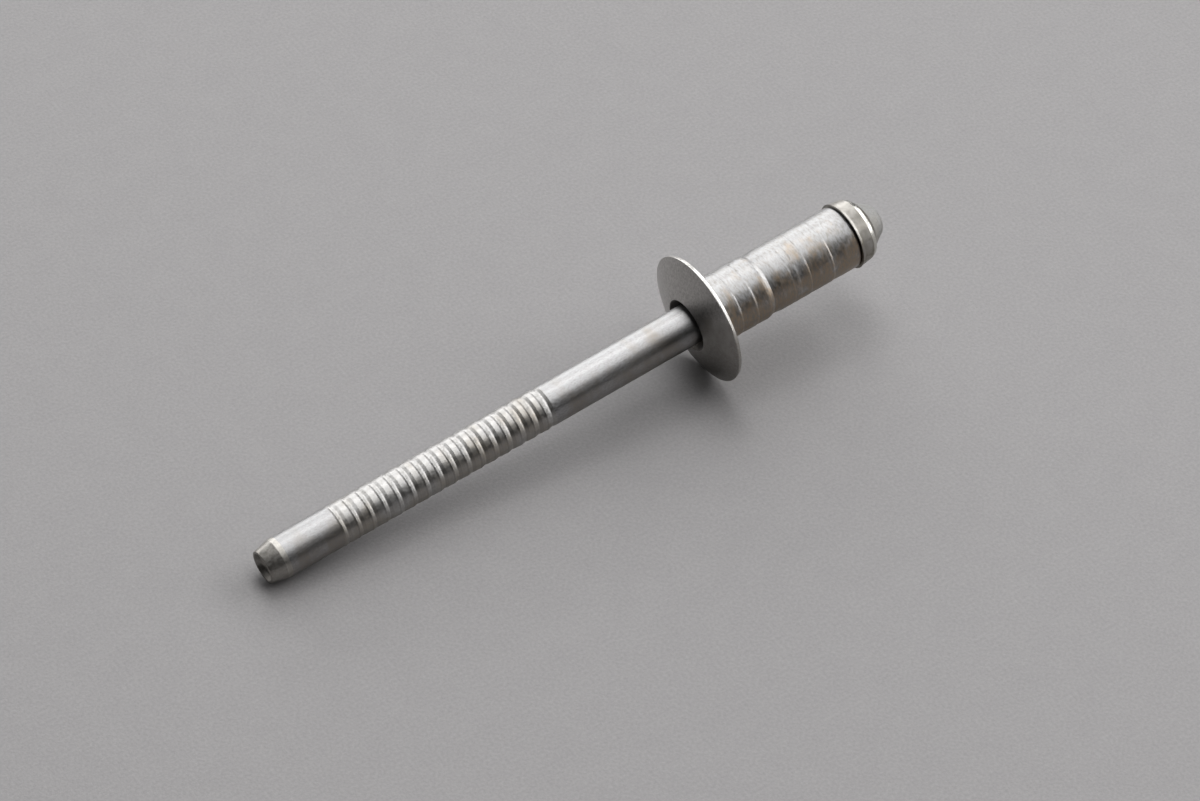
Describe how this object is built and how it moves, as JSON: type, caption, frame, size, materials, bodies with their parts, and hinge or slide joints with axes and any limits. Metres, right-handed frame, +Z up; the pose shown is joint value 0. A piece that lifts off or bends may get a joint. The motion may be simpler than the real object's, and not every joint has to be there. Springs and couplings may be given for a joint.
{
  "type": "blind rivet",
  "caption": "Unset structural blind rivet: a domed-flange sleeve on a mandrel with a hollow tapered tail, annular pull grooves and a blunt head.",
  "frame": {"origin": "middle of the ground that the rivet's bounding box covers, at the height of the ground it lies on", "axes": "+Z up; +X along the rivet in plan, from the hollow tail to the mandrel's head. The rivet lies on its flange rim and the edge of its tail taper, so its own axis rises by 5.62 degrees towards the head, in the XZ plane"},
  "size_m": [0.0522, 0.0098, 0.0099],
  "materials": {
    "sleeve_steel": "satin, fine turning marks on the shank, duller on the dome",
    "mandrel_steel": "drawn and rolled steel, smoother on the plain stem"
  },
  "bodies": {
    "root": {"rivet_body": "sleeve_steel", "mandrel": "mandrel_steel"}
  },
  "joints": []
}
